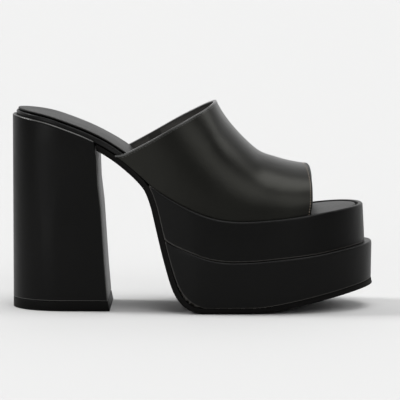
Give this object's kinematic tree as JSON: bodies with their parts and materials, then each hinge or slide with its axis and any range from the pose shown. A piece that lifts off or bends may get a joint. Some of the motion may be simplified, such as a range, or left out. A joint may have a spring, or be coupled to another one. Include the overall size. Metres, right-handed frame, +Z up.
{
  "type": "platform mule sandal",
  "caption": "Open-toe slip-on sandal with a hollow leather vamp, a stepped double platform and a tall block heel.",
  "frame": {"origin": "on the floor, under the middle of the shoe's box", "axes": "+X to the toe, -Y to the outer side of the right foot, +Z up"},
  "size_m": [0.2366, 0.0962, 0.1355],
  "materials": {
    "sole_rubber": "matte black",
    "platform_leather": "smooth black, satin",
    "heel_leather": "smooth black, satin",
    "tip_rubber": "hard matte black",
    "bed_leather": "smooth black, satin",
    "sock_leather": "soft black lining leather",
    "upper_leather": "smooth black, satin"
  },
  "bodies": {
    "root": {"outsole": "sole_rubber", "platform_lower": "platform_leather", "platform_upper": "platform_leather", "heel_block": "heel_leather", "heel_tip": "tip_rubber", "footbed": "bed_leather", "sock": "sock_leather", "upper": "upper_leather"}
  },
  "joints": []
}
